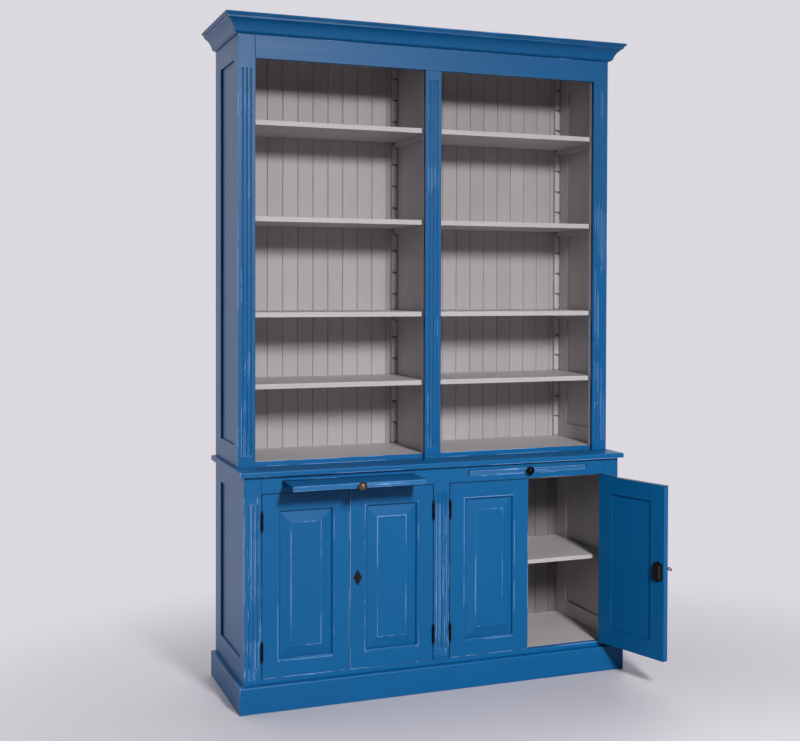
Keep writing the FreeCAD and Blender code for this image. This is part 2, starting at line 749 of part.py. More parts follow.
def base_shelf():
    """Right-hand shelf of the base, plain, on two cleats."""
    z1 = base_shelf_top
    y0 = y_base + base_shelf_setback
    return box(partition_half + shelf_clearance, inner_half - shelf_clearance,
               y0, y_boards - shelf_clearance, z1 - base_shelf_thickness, z1)


def base_shelf_cleats():
    top = base_shelf_top - base_shelf_thickness
    y0 = y_base + base_shelf_setback + cleat_height
    cleats = []
    for x_wall, toward in ((partition_half, 1), (inner_half, -1)):
        bar = box(x_wall, x_wall + toward * cleat_width, y0, y_boards, top - cleat_height, top)
        cleats += [bar, mirrored(bar)]
    return cleats


# ---- carcass boards -----------------------------------------------------------------------------------
def plinth_bearers():
    """Inner frame of the plinth: front, back, two ends and three cross bearers."""
    x_in = half_width + plinth_overhang - plinth_board
    y_in = y_base - plinth_overhang + plinth_board
    bars = [box(-x_in, x_in, y_in, y_in + bearer, 0, plinth_height),
            box(-x_in, x_in, y_back - bearer, y_back, 0, plinth_height)]
    x_ends = x_in - bearer / 2
    for x in (-x_ends, -bearer_spacing, 0, bearer_spacing, x_ends):
        bars.append(box(x - bearer / 2, x + bearer / 2, y_in + bearer, y_back - bearer,
                        0, plinth_height))
    return bars


def base_floor():
    """Its front edge shows between the outer pilasters, under the doors."""
    main = box(-inner_half, inner_half, y_base_inner, y_boards, plinth_height, floor_top)
    nose = box(-bay_outer, bay_outer, y_base + base_floor_setback, y_base_inner,
               plinth_height, floor_top)
    return join([main, nose])


def peg_places():
    y_middle = (y_upper + y_back) / 2
    x = inner_half - peg_inset
    return [(side * x, y_middle + y) for side in (-1, 1)
            for y in (-peg_spacing / 2, peg_spacing / 2)]


def peg_rods(radius, length):
    return [rod(radius, (x, y, base_height - length / 2), (0, 0, 1), length)
            for x, y in peg_places()]


def without_pegs(piece):
    for cutter in peg_rods(peg_radius + peg_clearance, peg_length + 2 * peg_clearance):
        piece = piece.cut(cutter)
    return piece.Solids[0]


def base_top_board():
    wide = half_width + top_overhang
    y0 = y_base - top_overhang
    slab = box(-wide, wide, y0, y_back, board_under, base_height)
    def outer_top(point):
        at_edge = near(point.y, y0) or near(abs(point.x), wide)
        return at_edge and near(point.z, base_height)
    rim = [edge for edge in edges_where(slab, outer_top)
           if not near(edge.BoundBox.YMin, y_back)]
    return without_pegs(slab.makeFillet(top_edge_round, rim))


def frieze():
    """Runs up behind the cornice; below it, it stands proud of the pilasters."""
    backing = box(-bay_outer, bay_outer, y_upper, y_upper_inner, frieze_bottom, roof_top)
    face = box(-bay_outer, bay_outer, y_upper - frieze_proud, y_upper,
               frieze_bottom, cornice_bottom)
    return join([backing, face])


def upper_floor():
    y0 = y_upper + upper_floor_setback
    slab = box(-inner_half, inner_half, y_upper_inner, y_boards, base_height, upper_floor_top)
    gap = box(-half_width, half_width, y_upper_inner, y0, base_height, upper_floor_top)
    between = [box(-inner_half, -bay_outer, y_upper_inner, y0, base_height, upper_floor_top),
               box(-bay_inner, bay_inner, y_upper_inner, y0, base_height, upper_floor_top),
               box(bay_outer, inner_half, y_upper_inner, y0, base_height, upper_floor_top)]
    return without_pegs(join([slab.cut(gap)] + between))


# ---- build ----------------------------------------------------------------------------------------------
os.makedirs("parts", exist_ok=True)

export("plinth_boards", plinth_boards())
export("plinth_bearers", plinth_bearers())
export("base_floor", [base_floor()])
export("base_partition", [box(-partition_half, partition_half, y_base_inner, y_boards,
                              floor_top, board_under)])
export("base_back_boards", back_boards(plinth_height, board_under))
export("base_top_rail", [base_top_rail()])
export("base_top_board", [base_top_board()])
export("base_shelf_cleats", base_shelf_cleats())
export("slide_runners", slide_runners())
export("door_stops", door_stops())

base_side = carcass_side(y_base_inner, plinth_height, board_under,
                         side_front_stile - base_frame_thickness,
                         base_side_bottom_rail, base_side_top_rail)
export("base_right_side", base_side)
export("base_left_side", [mirrored(piece) for piece in base_side])

export("upper_floor", [upper_floor()])
export("upper_partition", [box(-partition_half, partition_half, y_upper_inner, y_boards,
                               upper_floor_top, roof_under)])
export("upper_roof", [box(-inner_half, inner_half, y_upper_inner, y_boards,
                          roof_under, roof_top)])
export("upper_back_boards", back_boards(base_height, roof_top))
export("upper_pilasters", upper_pilasters())
export("frieze", [frieze()])
export("locating_pegs", peg_rods(peg_radius, peg_length))
export("shelf_racks", shelf_racks())
export("shelf_cleats", shelf_cleats())

upper_side = carcass_side(y_upper_inner, base_height, roof_top,
                          side_front_stile - upper_frame_thickness,
                          upper_side_bottom_rail, roof_top - frieze_bottom)
export("upper_right_side", upper_side)
export("upper_left_side", [mirrored(piece) for piece in upper_side])

cornice_front, cornice_left, cornice_right = cornice_boards()
export("cornice_front", [cornice_front])
export("cornice_returns", [cornice_left, cornice_right])

for number, step in enumerate(shelf_steps, start=1):
    shelf = upper_shelf(step)
    export("upper_left_shelf_%d" % number, [mirrored(shelf)])
    export("upper_right_shelf_%d" % number, [shelf])
export("base_left_shelf", [mirrored(base_shelf())])
export("base_right_shelf", [base_shelf()])

for hand, centre, out in (("left", -bay_centre, left_slide_out), ("right", bay_centre, 0.0)):
    export(hand + "_slide", slide(centre, out))
    export(hand + "_slide_knob", [knob(centre, y_base - out)])

# Doors are numbered from the left; the fourth stands open.
openings = [(-bay_outer, -bay_centre, False), (-bay_centre, -bay_inner, True),
            (bay_inner, bay_centre, False), (bay_centre, bay_outer, True)]
pilasters = base_pilasters()
frame_hinges = []
for number, (x0, x1, hinge_right) in enumerate(openings, start=1):
    locked = hinge_right
    pieces, frame_halves, frame_leaves, axis_x, free_edge = door(x0, x1, hinge_right, locked)
    frame_hinges += frame_halves
    for leaf in frame_leaves:
        pilasters = [strip.cut(leaf).Solids[0] for strip in pilasters]
    if number == 4:
        pieces["key"] = [key(free_edge)]
        for piece in sum(pieces.values(), []):
            piece.rotate(Vector(axis_x, y_base - axis_proud, 0), Vector(0, 0, 1),
                         open_door_angle)
    for name, solids in pieces.items():
        export("door_%d_%s" % (number, name), solids)
export("base_pilasters", pilasters)
export("frame_hinge_halves", frame_hinges)
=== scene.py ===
"""Looks of a painted two-part bookcase with cupboard doors.

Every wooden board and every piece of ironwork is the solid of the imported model, dressed:
its arrises are eased, each board gets its own grain direction, and the finishes are
brushed blue paint worn through on the arrises, warm grey paint inside, bare pine where
nothing is painted, and bronzed iron.
"""

import json
import math
import random

import bmesh
import bpy
from mathutils import Matrix, Vector

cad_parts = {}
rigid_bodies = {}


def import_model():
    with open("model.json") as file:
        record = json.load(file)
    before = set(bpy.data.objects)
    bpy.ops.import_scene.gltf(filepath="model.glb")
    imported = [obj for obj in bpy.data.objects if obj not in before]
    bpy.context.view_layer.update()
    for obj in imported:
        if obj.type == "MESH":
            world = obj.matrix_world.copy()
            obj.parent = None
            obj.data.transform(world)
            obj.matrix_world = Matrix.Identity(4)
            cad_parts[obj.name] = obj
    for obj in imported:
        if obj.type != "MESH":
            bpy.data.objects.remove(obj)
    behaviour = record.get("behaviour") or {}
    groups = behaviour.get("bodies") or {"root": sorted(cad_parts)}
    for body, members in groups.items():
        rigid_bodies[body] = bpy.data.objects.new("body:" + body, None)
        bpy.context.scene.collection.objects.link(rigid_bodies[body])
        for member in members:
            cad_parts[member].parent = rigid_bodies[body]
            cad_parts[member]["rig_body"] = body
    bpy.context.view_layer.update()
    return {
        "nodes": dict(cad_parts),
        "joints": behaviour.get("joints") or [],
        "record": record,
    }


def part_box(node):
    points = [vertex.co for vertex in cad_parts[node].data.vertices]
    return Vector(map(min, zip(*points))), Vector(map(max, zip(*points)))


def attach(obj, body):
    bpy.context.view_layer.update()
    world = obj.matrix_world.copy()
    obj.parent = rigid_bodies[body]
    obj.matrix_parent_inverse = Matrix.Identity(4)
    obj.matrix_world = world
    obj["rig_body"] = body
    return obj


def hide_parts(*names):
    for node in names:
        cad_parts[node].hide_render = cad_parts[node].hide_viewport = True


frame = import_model()
scene = bpy.context.scene
joints = {joint["name"]: joint for joint in frame["joints"]}
slots = {part["node"]: part["material_slot"] for part in frame["record"]["subparts"]}

MM = 0.001

# ---- camera ----------------------------------------------------------------------------
CAMERA_PLACE = Vector((-1.6780, -4.2355, 1.4588))
CAMERA_YAW = 0.3613            # to the right of +Y
CAMERA_PITCH = -0.0171
CAMERA_ROLL = 0.0026
CAMERA_SENSOR = 36             # mm wide
CAMERA_LENS = 54.14            # mm
CAMERA_SHIFT = -0.0782         # keeps the uprights upright


def set_camera():
    forward = Vector((math.sin(CAMERA_YAW) * math.cos(CAMERA_PITCH),
                      math.cos(CAMERA_YAW) * math.cos(CAMERA_PITCH), math.sin(CAMERA_PITCH)))
    level = Vector((math.cos(CAMERA_YAW), -math.sin(CAMERA_YAW), 0))
    upright = level.cross(forward)
    right = math.cos(CAMERA_ROLL) * level + math.sin(CAMERA_ROLL) * upright
    up = math.cos(CAMERA_ROLL) * upright - math.sin(CAMERA_ROLL) * level
    data = bpy.data.cameras.new("camera")
    data.lens = CAMERA_LENS
    data.sensor_width = CAMERA_SENSOR
    data.shift_y = CAMERA_SHIFT
    data.clip_end = 100
    camera = bpy.data.objects.new("camera", data)
    turn = Matrix((right, up, -forward)).transposed().to_4x4()
    camera.matrix_world = Matrix.Translation(CAMERA_PLACE) @ turn
    scene.collection.objects.link(camera)
    scene.camera = camera


# ---- node helpers ----------------------------------------------------------------------
def add(tree, kind, **values):
    """Adds a shader node; values set its properties or, by name, its sockets."""
    made = tree.nodes.new("ShaderNode" + kind)
    for name, value in values.items():
        if hasattr(made, name):
            setattr(made, name, value)
        else:
            made.inputs[name.replace("_", " ")].default_value = value
    return made


def feed(tree, socket, value):
    """Links an output to a socket, or sets a plain number, colour or vector on it."""
    if value is None:
        return
    if isinstance(value, bpy.types.NodeSocket):
        tree.links.new(value, socket)
    else:
        socket.default_value = value


def math_node(tree, operation, first, second=None, clamp=False):
    made = add(tree, "Math", operation=operation, use_clamp=clamp)
    feed(tree, made.inputs[0], first)
    feed(tree, made.inputs[1], second)
    return made.outputs[0]


def vector_math(tree, operation, first, second, gives="Value"):
    made = add(tree, "VectorMath", operation=operation)
    feed(tree, made.inputs[0], first)
    feed(tree, made.inputs[1], second)
    return made.outputs[gives]


def weighted(tree, *pairs):
    """The sum of some values, each times its weight."""
    total = None
    for value, weight in pairs:
        part = math_node(tree, "MULTIPLY", value, weight)
        total = part if total is None else math_node(tree, "ADD", total, part)
    return total


def remap(tree, value, low, high, to_low=0.0, to_high=1.0, straight=False):
    """Turns the range from low to high into that from to_low to to_high, level beyond it."""
    made = add(tree, "MapRange", interpolation_type="LINEAR" if straight else "SMOOTHSTEP")
    for name, number in (("Value", value), ("From Min", low), ("From Max", high),
                         ("To Min", to_low), ("To Max", to_high)):
        feed(tree, made.inputs[name], number)
    return made.outputs["Result"]


def mix_colour(tree, share, first, second, beyond=False):
    """Mixes two colours; beyond lets the share leave the range from 0 to 1."""
    made = add(tree, "Mix", data_type="RGBA", clamp_factor=not beyond)
    feed(tree, made.inputs[0], share)
    feed(tree, made.inputs[6], first)
    feed(tree, made.inputs[7], second)
    return made.outputs[2]


def noise(tree, place, stretch, detail=2.0, roughness=0.5):
    """Noise over a place in metres; stretch is how many waves fit in a metre each way."""
    made = add(tree, "TexNoise", Scale=1.0, Detail=detail, Roughness=roughness)
    feed(tree, made.inputs["Vector"], vector_math(tree, "MULTIPLY", place, stretch, "Vector"))
    return made.outputs["Fac"]


def separate(tree, vector):
    """The X, Y and Z of a vector."""
    made = add(tree, "SeparateXYZ")
    feed(tree, made.inputs[0], vector)
    return made.outputs


def nearest(tree, distances):
    """The least of the three numbers of a vector."""
    parts = separate(tree, distances)
    first = math_node(tree, "MINIMUM", parts["X"], parts["Y"])
    return math_node(tree, "MINIMUM", first, parts["Z"])


def attribute(tree, name, gives="Vector"):
    """What the corners of a board carry under a name."""
    return add(tree, "Attribute", attribute_name=name).outputs[gives]


def new_group(name, takes, gives):
    """A shader group with named sockets. takes maps a name to its kind and usual value."""
    tree = bpy.data.node_groups.new(name, "ShaderNodeTree")
    for label, (kind, value) in takes.items():
        socket = tree.interface.new_socket(label, in_out="INPUT", socket_type="NodeSocket" + kind)
        if value is not None:
            socket.default_value = value
    for label, kind in gives.items():
        tree.interface.new_socket(label, in_out="OUTPUT", socket_type="NodeSocket" + kind)
    return tree, tree.nodes.new("NodeGroupInput"), tree.nodes.new("NodeGroupOutput")


def use(tree, group, **values):
    made = tree.nodes.new("ShaderNodeGroup")
    made.node_tree = group
    for name, value in values.items():
        feed(tree, made.inputs[name], value)
    return made.outputs


# ---- shared effects --------------------------------------------------------------------
# What the corners of each board carry for the finishes:
GRAIN = "grain_place"          # place along and across its grain
TINT = "board_tint"            # a shade of its own, which on the grey shelves, floors, racks and backs is painted light and shade
HANDLED = "handled"            # shares of wear on its arrises, wear on its faces, and painted shade in its corners
ENDS = "ends"                  # distances to both ends of the stretch that can be rubbed
SHELTER = "shelter"            # distances to the sides that nothing rubs against, along which shade is painted too
# and what only this script needs while it works on them:
BOARD = "board_number"
GIVEN = "given_normal"

OUTER_AIR = 12 * MM            # an outer arris has open air as far as this
CLEAR_OF_END = (4 * MM, 14 * MM)       # wear starts and is whole this far from an end,
CLEAR_OF_GAP = (3 * MM, 6 * MM)        # and this far from the side of a gap
GAP_SHADE = (2.4 * MM, 1.2 * MM)        # painted shade starts and is whole this near to such a side
CREASE_SHADE_REACH = (6 * MM, 11 * MM)        # its reach in an inner corner, usual and strongest
USUAL_CREASE_SHADE = 0.7                       # on the blue paint


def brush_marks():
    """Long brush strokes along the grain: Tone is about -1 to 1, Height for a bump."""
    tree, given, gives = new_group("brush marks",
                                   {"Place": ("Vector", None), "Tint": ("Float", 0.0)},
                                   {"Tone": "Float", "Height": "Float"})
    place = given.outputs["Place"]
    streaks = noise(tree, place, (1.6, 90, 90), 4, 0.6)
    fine = noise(tree, place, (9, 620, 620), 3)
    mottle = noise(tree, place, (2.2, 4, 4), 3)
    tone = math_node(tree, "ADD", remap(tree, streaks, 0.25, 0.75, -0.18, 0.18),
                     remap(tree, mottle, 0.25, 0.75, -0.32, 0.32))
    feed(tree, gives.inputs["Tone"], math_node(tree, "ADD", tone, given.outputs["Tint"]))
    feed(tree, gives.inputs["Height"], weighted(tree, (streaks, 0.65), (fine, 0.35)))
    return tree


def arris_wear():
    """Paint rubbed off the outer corners, in long broken strokes.

    Handled holds how much of an arris is bare, and how much the face is streaked too.
    Ends keeps the strokes off butted ends, and Shelter off the sides of the gaps.
    """
    tree, given, gives = new_group(
        "arris wear",
        {"Place": ("Vector", None), "Ends": ("Vector", None), "Shelter": ("Vector", None),
         "Reach": ("Float", 0.003), "Handled": ("Vector", None)},
        {"Worn": "Float", "Rubbed": "Float"})
    place = given.outputs["Place"]
    handled = separate(tree, given.outputs["Handled"])
    # how near the surface is to an outer corner
    rounded = add(tree, "Bevel", samples=8)
    feed(tree, rounded.inputs["Radius"], given.outputs["Reach"])
    flat = add(tree, "NewGeometry").outputs["Normal"]
    facing = vector_math(tree, "DOT_PRODUCT", rounded.outputs[0], flat)
    turn = math_node(tree, "SUBTRACT", 1.0, facing)
    air = add(tree, "AmbientOcclusion", samples=4, only_local=True, Distance=OUTER_AIR)
    free = remap(tree, nearest(tree, given.outputs["Ends"]), *CLEAR_OF_END)
    outer = math_node(tree, "MULTIPLY", remap(tree, air.outputs["AO"], 0.72, 0.9), free)
    outer = math_node(tree, "MULTIPLY", outer,
                      remap(tree, nearest(tree, given.outputs["Shelter"]), *CLEAR_OF_GAP))
    corner = math_node(tree, "MULTIPLY", remap(tree, turn, 0.001, 0.03), outer)
    # strokes along it: the further the noise rises over its start, the wider they are
    long_strokes = noise(tree, place, (6.5, 7, 7), 1, 0.5)
    each_arris = noise(tree, place, (2.4, 38, 38), 1, 0.5)
    ragged = noise(tree, place, (45, 420, 420), 3, 0.6)
    level = weighted(tree, (long_strokes, 0.42), (each_arris, 0.42), (ragged, 0.16))
    start = remap(tree, handled["X"], 0.0, 1.0, 0.68, 0.38, straight=True)
    excess = math_node(tree, "SUBTRACT", level, start)
    width = remap(tree, excess, 0.0, 0.10, 0.55, 0.05, straight=True)
    stroke = math_node(tree, "MULTIPLY", remap(tree, excess, 0.0, 0.02),
                       remap(tree, corner, width, math_node(tree, "ADD", width, 0.15)))
    # streaks all over a face
    overall = math_node(tree, "MULTIPLY", handled["Y"], free)
    streaks = remap(tree, noise(tree, place, (8, 90, 150), 3, 0.6), 0.60, 0.65)
    streaks = math_node(tree, "MULTIPLY", streaks, overall)
    feed(tree, gives.inputs["Worn"], math_node(tree, "MAXIMUM", stroke, streaks))
    feed(tree, gives.inputs["Rubbed"], weighted(tree, (corner, handled["X"]), (overall, 0.5)))
    return tree


def crease_shade():
    """Painted shade where two faces meet in an inner corner, and along the sides of the gaps."""
    tree, given, gives = new_group("painted crease shade",
                                   {"Shelter": ("Vector", None), "Dirt": ("Float", 0.5)},
                                   {"PaintedShade": "Float"})
    shade_strength = given.outputs["Dirt"]
    # painted shade: darker where ambient occlusion finds an inner corner, reaching further the
    # stronger it is
    corner = add(tree, "AmbientOcclusion", samples=6)
    feed(tree, corner.inputs["Distance"],
         remap(tree, shade_strength, USUAL_CREASE_SHADE, 1.0, *CREASE_SHADE_REACH, straight=True))
    gap = remap(tree, nearest(tree, given.outputs["Shelter"]), *GAP_SHADE)
    painted_shade = math_node(tree, "MAXIMUM", remap(tree, corner.outputs["AO"], 0.85, 0.45), gap)
    feed(tree, gives.inputs["PaintedShade"], math_node(tree, "MULTIPLY", painted_shade, shade_strength))
    return tree


BRUSH = brush_marks()
WEAR = arris_wear()
SHADE_IN_CREASES = crease_shade()


# ---- finishes --------------------------------------------------------------------------
RUBBED_SHARE = 0.16            # how far rubbed paint goes towards bared paint
WORN_ROUGHER = 0.3             # roughness that bared paint adds

PINE_LIGHT = (0.60, 0.40, 0.22, 1)
PINE_DARK = (0.46, 0.27, 0.13, 1)
PINE_FIBRE = (0.33, 0.19, 0.09, 1)

IRON_BLACK = (0.009, 0.009, 0.010, 1)
IRON_BROWN = (0.26, 0.17, 0.115, 1)
IRON_RUBBED = (0.30, 0.20, 0.13, 1)
IRON_REACH = 1.2 * MM          # width of the rubbed strip along an arris
IRON_SHEEN = (0.35, 0.33, 0.32, 1)


def material(name):
    made = bpy.data.materials.new(name)
    made.use_nodes = True
    tree = made.node_tree
    return made, tree, tree.nodes["Principled BSDF"]


def rubbed_arrises(tree, reach):
    return use(tree, WEAR, Place=attribute(tree, GRAIN), Ends=attribute(tree, ENDS),
               Shelter=attribute(tree, SHELTER), Handled=attribute(tree, HANDLED), Reach=reach)


def bump(tree, surface, height, depth):
    made = add(tree, "Bump", Strength=1.0, Distance=depth)
    feed(tree, made.inputs["Height"], height)
    feed(tree, surface.inputs["Normal"], made.outputs[0])


def paint(name, light, dark, bared, painted_shade, shade_strength, reach, roughness, specular):
    """Brushed paint: two tones of one colour, painted shade in the corners, bared on the arrises.

    reach is the width of the strip along an arris that can be bared.
    """
    made, tree, surface = material(name)
    marks = use(tree, BRUSH, Place=attribute(tree, GRAIN), Tint=attribute(tree, TINT, "Fac"))
    tone = math_node(tree, "ADD", math_node(tree, "MULTIPLY", marks["Tone"], 0.5), 0.5)
    colour = mix_colour(tree, tone, dark, light, beyond=True)
    # painted shade in the inner corners and along the gaps, mixed into the colour
    own_shade = separate(tree, attribute(tree, HANDLED))["Z"]
    creases = use(tree, SHADE_IN_CREASES, Shelter=attribute(tree, SHELTER),
                  Dirt=math_node(tree, "MAXIMUM", own_shade, shade_strength))
    colour = mix_colour(tree, creases["PaintedShade"], colour, painted_shade)
    wear = rubbed_arrises(tree, reach)
    rubbed = math_node(tree, "MULTIPLY", wear["Rubbed"], RUBBED_SHARE)
    colour = mix_colour(tree, rubbed, colour, bared)
    colour = mix_colour(tree, wear["Worn"], colour, bared)
    feed(tree, surface.inputs["Base Color"], colour)
    sheen = remap(tree, marks["Height"], 0.3, 0.7, roughness - 0.03, roughness + 0.04)
    rougher = math_node(tree, "MULTIPLY", wear["Worn"], WORN_ROUGHER)
    feed(tree, surface.inputs["Roughness"], math_node(tree, "ADD", sheen, rougher, clamp=True))
    bump(tree, surface, marks["Height"], 0.07 * MM)
    surface.inputs["Specular IOR Level"].default_value = specular
    return made


def bare_pine():
    """Planed pine: growth rings stretched along the board."""
    made, tree, surface = material("bare pine")
    place = attribute(tree, GRAIN)
    rings = noise(tree, place, (1.2, 55, 55), 3)
    lines = math_node(tree, "SINE", math_node(tree, "MULTIPLY", rings, 60.0))
    fibre = noise(tree, place, (14, 900, 900), 2)
    grain = remap(tree, lines, -1.0, 1.0)
    colour = mix_colour(tree, grain, PINE_LIGHT, PINE_DARK)
    colour = mix_colour(tree, math_node(tree, "MULTIPLY", fibre, 0.3), colour, PINE_FIBRE)
    feed(tree, surface.inputs["Base Color"], colour)
    feed(tree, surface.inputs["Roughness"], remap(tree, fibre, 0.2, 0.8, 0.55, 0.75))
    bump(tree, surface, fibre, 0.15 * MM)
    return made


def bronzed_iron():
    """Dark cast iron with a brown bloom, rubbed brighter on the corners."""
    made, tree, surface = material("bronzed iron")
    place = attribute(tree, GRAIN)
    cloud = noise(tree, place, (60, 60, 60), 4, 0.6)
    pits = noise(tree, place, (900, 900, 900), 2)
    bloom = math_node(tree, "ADD", remap(tree, cloud, 0.35, 0.8, 0.0, 0.1),
                      attribute(tree, TINT, "Fac"), clamp=True)
    colour = mix_colour(tree, bloom, IRON_BLACK, IRON_BROWN)
    worn = math_node(tree, "MULTIPLY", rubbed_arrises(tree, IRON_REACH)["Worn"], 0.7)
    colour = mix_colour(tree, worn, colour, IRON_RUBBED)
    feed(tree, surface.inputs["Base Color"], colour)
    feed(tree, surface.inputs["Roughness"], remap(tree, cloud, 0.3, 0.7, 0.30, 0.46))
    surface.inputs["Metallic"].default_value = 0.85
    surface.inputs["Specular Tint"].default_value = IRON_SHEEN
    bump(tree, surface, pits, 0.08 * MM)
    return made


# the dark colour given to each paint for its corners and gaps is painted shade
FINISHES = {
    "blue_paint": paint("blue paint",
                        light=(0.0006, 0.128, 0.345, 1), dark=(0.0003, 0.106, 0.297, 1),
                        bared=(0.28, 0.50, 0.92, 1), painted_shade=(0.0002, 0.030, 0.110, 1),
                        shade_strength=USUAL_CREASE_SHADE, reach=3.2 * MM, roughness=0.42, specular=0.25),
    "grey_paint": paint("grey paint",
                        light=(0.570, 0.540, 0.548, 1), dark=(0.430, 0.405, 0.410, 1),
                        bared=(0.80, 0.78, 0.78, 1), painted_shade=(0.10, 0.09, 0.085, 1),
                        shade_strength=0.15, reach=2.0 * MM, roughness=0.5, specular=0.4),
    "bare_pine": bare_pine(),
    "dark_iron": bronzed_iron()}


# ---- boards and ironwork ---------------------------------------------------------------
WOOD_EASING = 1.0 * MM
IRON_EASING = 0.25 * MM
EASED_TURN = math.radians(40)  # an edge that turns by more is an arris
SHARP_TURN = math.radians(4)   # one that turns by less is part of a curve
FLAT_TURN = math.radians(0.5)  # and one that turns by less than this lies in a flat face
WELD = 0.005 * MM              # corners nearer than this are one
FLUSH = 6                      # decimals of a metre to which touching boards agree

OPEN_DOOR = "door_4"           # stands open at rest
DOOR_FRONT, DOOR_BACK = (corner[1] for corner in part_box("door_1_frame"))
DOOR_MIDDLE = (DOOR_FRONT + DOOR_BACK) / 2
DOOR_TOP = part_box("door_1_frame")[1][2]
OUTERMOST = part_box("upper_pilasters")[0][0] + 2 * MM     # left of it is the case's corner
SIDE_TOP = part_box("upper_left_side")[1][2] - 0.1 * MM
SIDE_MIDDLE = 0.717            # from the middle of the case to halfway through a side
CORNICE_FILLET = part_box("cornice_front")[1][2] - 19 * MM
# Least size of a normal's number along an axis, for a face that looks along it:
SQUARE = 0.9                   # squarely
MOSTLY = 0.7                   # at up to 45 degrees
HARDLY = 0.3                   # or hardly at all


def closed_turn(body):
    """Matrix that shuts the door that a body rides on, so that its boards lie square."""
    if not body.startswith(OPEN_DOOR):
        return Matrix.Identity(4)
    hinge = joints[OPEN_DOOR + "_hinge"]
    pivot = Matrix.Translation(Vector(hinge["pos_m"]))
    angle = math.radians(hinge["range_deg"][0])
    return pivot @ Matrix.Rotation(angle, 4, Vector(hinge["axis"])) @ pivot.inverted()


def inside_of_side(centre, normal):
    outwards = normal.x if centre.x > 0 else -normal.x
    return abs(centre.x) < SIDE_MIDDLE and centre.z < SIDE_TOP and outwards <= HARDLY


def front_edge(centre, normal):
    return normal.y < -MOSTLY or centre.y < DOOR_BACK


# Nodes with a second finish, and the test that finds the faces that have it.
SIDES = ("upper_left_side", "upper_right_side", "base_left_side", "base_right_side")
SECOND_FINISH = {"base_floor": ("blue_paint", front_edge),
                 "upper_floor": ("blue_paint", front_edge)}
SECOND_FINISH.update({side: ("grey_paint", inside_of_side) for side in SIDES})


def solids_of(mesh):
    """Faces of each separate solid: it is whole once every edge has been met both ways."""
    place = [tuple(vertex.co) for vertex in mesh.vertices]
    solids, current, open_edges = [], [], set()
    for face in mesh.polygons:
        current.append(face)
        corners = [place[i] for i in face.vertices]
        for edge in zip(corners, corners[1:] + corners[:1]):
            if edge[::-1] in open_edges:
                open_edges.remove(edge[::-1])
            else:
                open_edges.add(edge)
        if not open_edges:
            solids.append(current)
            current = []
    return solids + ([current] if current else [])


def add_board(bm, mesh, faces, number, shut):
    """Welds one solid's faces into bm, with its true surface directions on the corners."""
    given = bm.loops.layers.float_vector.get(GIVEN) or bm.loops.layers.float_vector.new(GIVEN)
    board = bm.faces.layers.int.get(BOARD) or bm.faces.layers.int.new(BOARD)
    made = {}
    for face in faces:
        corners = []
        for index in face.vertices:
            place = tuple(shut @ mesh.vertices[index].co)
            if place not in made:
                made[place] = bm.verts.new(place)
            corners.append(made[place])
        if len(set(corners)) == len(corners) and not bm.faces.get(corners):
            welded = bm.faces.new(corners)
            welded[board] = number
            for loop, index in zip(welded.loops, face.loop_indices):
                loop[given] = mesh.corner_normals[index].vector
    bmesh.ops.remove_doubles(bm, verts=list(made.values()), dist=WELD)


def glued(mesh, solids, shut):
    """One shell from boards that meet face to face, so that no seam is left open."""
    boards = []
    for number, faces in enumerate(solids):
        bm = bmesh.new()
        add_board(bm, mesh, faces, number, shut)
        for vertex in bm.verts:
            vertex.co = [round(value, FLUSH) for value in vertex.co]
        data = bpy.data.meshes.new("board")
        bm.to_mesh(data)
        bm.free()
        boards.append(bpy.data.objects.new("board", data))
        scene.collection.objects.link(boards[-1])
    for other in boards[1:]:
        union = boards[0].modifiers.new("glue", "BOOLEAN")
        union.operation = "UNION"
        union.solver = "EXACT"
        union.object = other
    ready = bpy.context.evaluated_depsgraph_get()
    whole = bpy.data.meshes.new_from_object(boards[0].evaluated_get(ready))
    bm = bmesh.new()
    bm.from_mesh(whole)
    for spare in [board.data for board in boards] + [whole]:
        bpy.data.meshes.remove(spare)
    return bm


def boards_of(node, shut):
    """The solids of a node in one mesh; the boards of a frame are glued."""
    mesh = frame["nodes"][node].data
    solids = solids_of(mesh)
    if node.endswith("_frame") or node in SIDES:
        return glued(mesh, solids, shut)
    bm = bmesh.new()
    for number, faces in enumerate(solids):
        add_board(bm, mesh, faces, number, shut)
    return bm


def flatten(bm):
    """Dissolves the triangles of flat faces, board by board, and marks the true edges."""
    board = bm.faces.layers.int[BOARD]
    given = bm.loops.layers.float_vector[GIVEN]
    for face in bm.faces:
        face.material_index = face[board]
    bmesh.ops.dissolve_limit(bm, angle_limit=FLAT_TURN, verts=bm.verts, edges=bm.edges,
                             delimit={"MATERIAL"})
    for edge in bm.edges:
        edge.smooth = False
        if len(edge.link_loops) == 2:
            first, second = edge.link_loops
            turns = ((first[given], second.link_loop_next[given]),
                     (first.link_loop_next[given], second[given]))
            edge.smooth = all(a.angle(b, 0) < SHARP_TURN for a, b in turns)
    bm.loops.layers.float_vector.remove(given)


